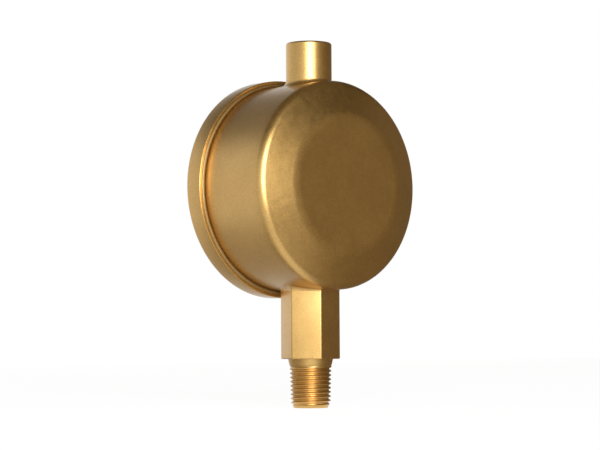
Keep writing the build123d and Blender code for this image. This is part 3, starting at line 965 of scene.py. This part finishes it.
@dataclass(frozen=True)
class Surround:
    """Grey paper walls round the studio, seen by the metal and not by the camera, in metres."""

    radius: float = 1.5
    height: float = 1.5
    stops: tuple[tuple[float, float], ...] = (
        (-180.0, 1.0),
        (-150.0, 1.0),
        (-118.0, 0.95),
        (-95.0, 0.80),
        (-75.0, 0.72),
        (-56.0, 0.76),
        (-40.0, 0.82),
        (-22.0, 0.90),
        (0.0, 0.70),
        (45.0, 0.36),
        (75.0, 0.26),
        (105.0, 0.19),
        (150.0, 0.18),
        (168.0, 0.28),
        (176.0, 1.0),
    )
    card_stops: tuple[tuple[float, float], ...] = (
        (-170.0, 0.6),
        (-90.0, 0.32),
        (-45.0, 0.42),
        (-15.0, 1.0),
        (22.0, 1.0),
        (48.0, 0.4),
        (75.0, 0.2),
        (150.0, 0.2),
        (176.0, 0.5),
    )
    view_angle: float = -131.6
    fade_from: float = 0.6
    fade_to: float = 1.25
    top_share: float = 0.22
    ceiling: float = 0.13
    card_height: float = 0.0006
    card_hole: float = 0.012
    card_near: float = 0.03
    card_far: float = 0.24
    warm: Colour = (1.0, 0.80, 0.55)
    cool: Colour = (0.98, 1.0, 1.04)
    warm_below: float = 0.2
    cool_above: float = 0.6

    def paper(self, grey: float) -> Colour:
        """Colour of paper of one brightness: warm where it is dark and cool where it is light."""
        share = min(max((grey - self.warm_below) / (self.cool_above - self.warm_below), 0.0), 1.0)
        return tuple(grey * (low + share * (high - low)) for low, high in zip(self.warm, self.cool))

    def around(self, sheet: Sheet, stops: tuple[tuple[float, float], ...]) -> bpy.types.NodeSocket:
        """Paper colours that run round the object.

        Args:
            sheet: Material that is being written.
            stops: Angles from the camera's direction, in degrees, with the paper's brightness.

        Returns:
            The colour output.
        """
        place = sheet.add("ShaderNodeTexCoord").outputs["Object"]
        angle = sheet.add("ShaderNodeTexGradient", gradient_type="RADIAL")
        sheet.join(place, angle.inputs["Vector"])
        ramp = sheet.add("ShaderNodeValToRGB")
        placed = sorted((((degrees + self.view_angle) / 360 + 0.5) % 1.0, grey) for degrees, grey in stops)
        first, last = placed[0], placed[-1]
        gap = first[0] + 1 - last[0]
        seam = last[1] + (first[1] - last[1]) * (1 - last[0]) / gap
        elements = ramp.color_ramp.elements
        elements[0].position = 0.0
        elements[0].color = (*self.paper(seam), 1)
        elements[1].position = 1.0
        elements[1].color = (*self.paper(seam), 1)
        for position, grey in placed:
            elements.new(position).color = (*self.paper(grey), 1)
        sheet.join(angle.outputs["Fac"], ramp.inputs["Fac"])
        return ramp.outputs["Color"]

    def wall_material(self) -> bpy.types.Material:
        """Paper whose brightness runs round the walls and darkens upwards."""
        sheet = Sheet("studio_walls")
        split = sheet.add("ShaderNodeSeparateXYZ")
        sheet.join(sheet.add("ShaderNodeTexCoord").outputs["Object"], split.inputs["Vector"])
        fall = sheet.add(
            "ShaderNodeMapRange",
            {"From Min": self.fade_from, "From Max": self.fade_to, "To Min": 1.0, "To Max": self.top_share},
            interpolation_type="SMOOTHSTEP",
        )
        sheet.join(split.outputs["Z"], fall.inputs["Value"])
        sheet.glow(self.around(sheet, self.stops), fall.outputs["Result"])
        return sheet.material

    def card_material(self) -> bpy.types.Material:
        """Paper that is dim under the object and takes the walls' brightness further out."""
        sheet = Sheet("studio_card")
        away = sheet.add("ShaderNodeVectorMath", operation="LENGTH")
        sheet.join(sheet.add("ShaderNodeTexCoord").outputs["Object"], away.inputs[0])
        share = sheet.add(
            "ShaderNodeMapRange", {"From Min": self.card_near, "From Max": self.card_far}, interpolation_type="SMOOTHSTEP"
        )
        sheet.join(away.outputs["Value"], share.inputs["Value"])
        mix = sheet.add("ShaderNodeMix", data_type="RGBA")
        colours = [socket for socket in mix.inputs if socket.type == "RGBA"]
        sheet.join(self.around(sheet, self.card_stops), colours[0])
        sheet.join(self.around(sheet, self.stops), colours[1])
        sheet.join(share.outputs["Result"], mix.inputs["Factor"])
        sheet.glow(next(socket for socket in mix.outputs if socket.type == "RGBA"))
        return sheet.material

    def plain_material(self, name: str, grey: float) -> bpy.types.Material:
        """Even dark paper."""
        sheet = Sheet(name)
        colour = sheet.add("ShaderNodeRGB")
        colour.outputs["Color"].default_value = (*self.paper(grey), 1.0)
        sheet.glow(colour.outputs["Color"])
        return sheet.material

    def build(self) -> list[bpy.types.Object]:
        """Build the walls, the ceiling and the dark card over the floor.

        Returns:
            The stage pieces.
        """
        wall = bmesh.new()
        bmesh.ops.create_circle(wall, cap_ends=False, segments=96, radius=self.radius / MM)
        raised = bmesh.ops.extrude_edge_only(wall, edges=wall.edges[:])
        tops = [part for part in raised["geom"] if isinstance(part, bmesh.types.BMVert)]
        bmesh.ops.translate(wall, verts=tops, vec=(0, 0, self.height / MM))
        roof = bmesh.new()
        place = Matrix.Translation((0, 0, self.height / MM))
        bmesh.ops.create_circle(roof, cap_ends=True, segments=96, radius=self.radius / MM, matrix=place)
        ring = bmesh.new()
        place = Matrix.Translation((0, 0, self.card_height / MM))
        bmesh.ops.create_circle(ring, cap_ends=False, segments=96, radius=self.radius / MM, matrix=place)
        raised = bmesh.ops.extrude_edge_only(ring, edges=ring.edges[:])
        inner = [part for part in raised["geom"] if isinstance(part, bmesh.types.BMVert)]
        shrink = self.card_hole / self.radius
        bmesh.ops.scale(ring, verts=inner, vec=(shrink, shrink, 1.0))
        pieces = [
            make_object(wall, "studio_walls"),
            make_object(roof, "studio_ceiling"),
            make_object(ring, "studio_card"),
        ]
        pieces[0].data.materials.append(self.wall_material())
        pieces[1].data.materials.append(self.plain_material("studio_ceiling", self.ceiling))
        pieces[2].data.materials.append(self.card_material())
        pieces[2].visible_diffuse = False
        for piece in pieces:
            piece.visible_camera = False
            piece.visible_shadow = False
        return pieces


@dataclass(frozen=True)
class Softbox:
    """One area lamp, placed by its angles from the camera's direction, in metres and degrees."""

    name: str
    right: float
    up: float
    distance: float
    width: float
    height: float
    watts: float
    view_angle: float = -131.6

    def build(self, aim: Vector) -> bpy.types.Object:
        """Place the lamp so that it faces the object.

        Args:
            aim: Point that it faces.

        Returns:
            The lamp.
        """
        lamp = bpy.data.lights.new(self.name, "AREA")
        lamp.shape = "RECTANGLE"
        lamp.size = self.width
        lamp.size_y = self.height
        lamp.energy = self.watts
        lamp.color = (0.96, 1.0, 1.12)
        holder = bpy.data.objects.new(self.name, lamp)
        turn_angle = math.radians(self.view_angle + self.right)
        rise = math.radians(self.up)
        away = Vector(
            (
                math.cos(rise) * math.cos(turn_angle),
                math.cos(rise) * math.sin(turn_angle),
                math.sin(rise),
            )
        )
        facing = (-away).to_track_quat("-Z", "Y").to_matrix().to_4x4()
        holder.matrix_world = Matrix.Translation(aim + away * self.distance) @ facing
        holder.visible_camera = False
        bpy.context.scene.collection.objects.link(holder)
        return holder


@dataclass(frozen=True)
class Studio:
    """Floor, walls, lamps, world and camera."""

    centre_height: float = 0.07425
    distance: float = 0.693
    azimuth: float = -41.6
    elevation: float = -4.17
    roll: float = -0.347
    lens: float = 123.0
    pixel_lens: float = 2050.0
    centre_right: float = 9.47
    centre_up: float = 37.72
    floor_radius: float = 1.48
    floor_grey: float = 0.12
    floor_glow: float = 0.941

    def floor(self) -> bpy.types.Object:
        """Plain pale floor that keeps the object's shadow."""
        mesh = bmesh.new()
        bmesh.ops.create_circle(mesh, cap_ends=True, segments=96, radius=self.floor_radius / MM)
        ground = make_object(mesh, "studio_floor")
        sheet = Sheet("pale_floor")
        seen = self.seen_directly(sheet)
        strength = sheet.add("ShaderNodeMath", {1: self.floor_glow}, operation="MULTIPLY")
        sheet.join(seen, strength.inputs[0])
        glow = sheet.add("ShaderNodeEmission")
        sheet.join(strength.outputs["Value"], glow.inputs["Strength"])
        paper = sheet.add("ShaderNodeBsdfDiffuse", {"Color": (self.floor_grey,) * 3 + (1.0,)})
        both = sheet.add("ShaderNodeAddShader")
        sheet.join(glow.outputs["Emission"], both.inputs[0])
        sheet.join(paper.outputs["BSDF"], both.inputs[1])
        output = sheet.add("ShaderNodeOutputMaterial")
        sheet.join(both.outputs["Shader"], output.inputs["Surface"])
        ground.data.materials.append(sheet.material)
        return ground

    @staticmethod
    def seen_directly(sheet: "Sheet") -> bpy.types.NodeSocket:
        """Value 1 for camera, glossy and transmission rays, and 0 for the rest."""
        path = sheet.add("ShaderNodeLightPath")
        first = sheet.add("ShaderNodeMath", operation="MAXIMUM")
        second = sheet.add("ShaderNodeMath", operation="MAXIMUM")
        sheet.join(path.outputs["Is Camera Ray"], first.inputs[0])
        sheet.join(path.outputs["Is Glossy Ray"], first.inputs[1])
        sheet.join(first.outputs["Value"], second.inputs[0])
        sheet.join(path.outputs["Is Transmission Ray"], second.inputs[1])
        return second.outputs["Value"]

    def world(self) -> None:
        """White background behind the object and an even soft fill."""
        world = bpy.data.worlds.new("studio_world")
        bpy.context.scene.world = world
        world.use_nodes = True
        nodes, links = world.node_tree.nodes, world.node_tree.links
        nodes.clear()
        path = nodes.new("ShaderNodeLightPath")
        first = nodes.new("ShaderNodeMath")
        second = nodes.new("ShaderNodeMath")
        level = nodes.new("ShaderNodeMapRange")
        first.operation = "MAXIMUM"
        second.operation = "MAXIMUM"
        level.inputs["To Min"].default_value = 0.5
        level.inputs["To Max"].default_value = 1.0
        background = nodes.new("ShaderNodeBackground")
        output = nodes.new("ShaderNodeOutputWorld")
        links.new(path.outputs["Is Camera Ray"], first.inputs[0])
        links.new(path.outputs["Is Glossy Ray"], first.inputs[1])
        links.new(first.outputs["Value"], second.inputs[0])
        links.new(path.outputs["Is Transmission Ray"], second.inputs[1])
        links.new(second.outputs["Value"], level.inputs["Value"])
        background.inputs["Color"].default_value = (1, 1, 1, 1)
        links.new(level.outputs["Result"], background.inputs["Strength"])
        links.new(background.outputs["Background"], output.inputs["Surface"])

    def camera(self) -> bpy.types.Object:
        """Camera at the photograph's angle, distance and framing.

        Returns:
            The camera.
        """
        turned = math.radians(self.azimuth)
        lifted = math.radians(self.elevation)
        rolled = math.radians(self.roll)
        back = Vector(
            (
                math.sin(turned) * math.cos(lifted),
                -math.cos(turned) * math.cos(lifted),
                math.sin(lifted),
            )
        )
        level = Vector((math.cos(turned), math.sin(turned), 0.0))
        upright = back.cross(level)
        right = math.cos(rolled) * level + math.sin(rolled) * upright
        up = -math.sin(rolled) * level + math.cos(rolled) * upright
        ahead = (-back - right * self.centre_right / self.pixel_lens - up * self.centre_up / self.pixel_lens).normalized()
        up = (up - ahead * up.dot(ahead)).normalized()
        right = ahead.cross(up)
        data = bpy.data.cameras.new("photo_camera")
        data.lens = self.lens
        data.sensor_width = 36.0
        data.clip_start = 0.01
        data.clip_end = 20.0
        holder = bpy.data.objects.new("photo_camera", data)
        facing = Matrix((right, up, -ahead)).transposed().to_4x4()
        centre = Vector((0.0, 0.0, self.centre_height))
        holder.matrix_world = Matrix.Translation(centre + back * self.distance) @ facing
        bpy.context.scene.collection.objects.link(holder)
        bpy.context.scene.camera = holder
        return holder

    def build(self) -> None:
        """Set up the whole studio."""
        bpy.context.scene.view_settings.view_transform = "Standard"
        centre = Vector((0.0, 0.0, self.centre_height))
        self.floor()
        self.world()
        self.camera()
        Surround().build()
        Softbox("key_softbox", right=8.0, up=6.0, distance=1.1, width=0.62, height=0.9, watts=15.8).build(centre)


def main() -> None:
    """Build every piece of the vent and the studio round it."""
    logging.basicConfig(level=logging.INFO, format="%(name)s %(message)s")
    for part in (Drum(), Tower(), Stem()):
        for piece in part.build():
            LOG.info("built %s", piece.name)
    Inside().dress(frame["nodes"])
    Studio().build()


if __name__ == "__main__":
    main()
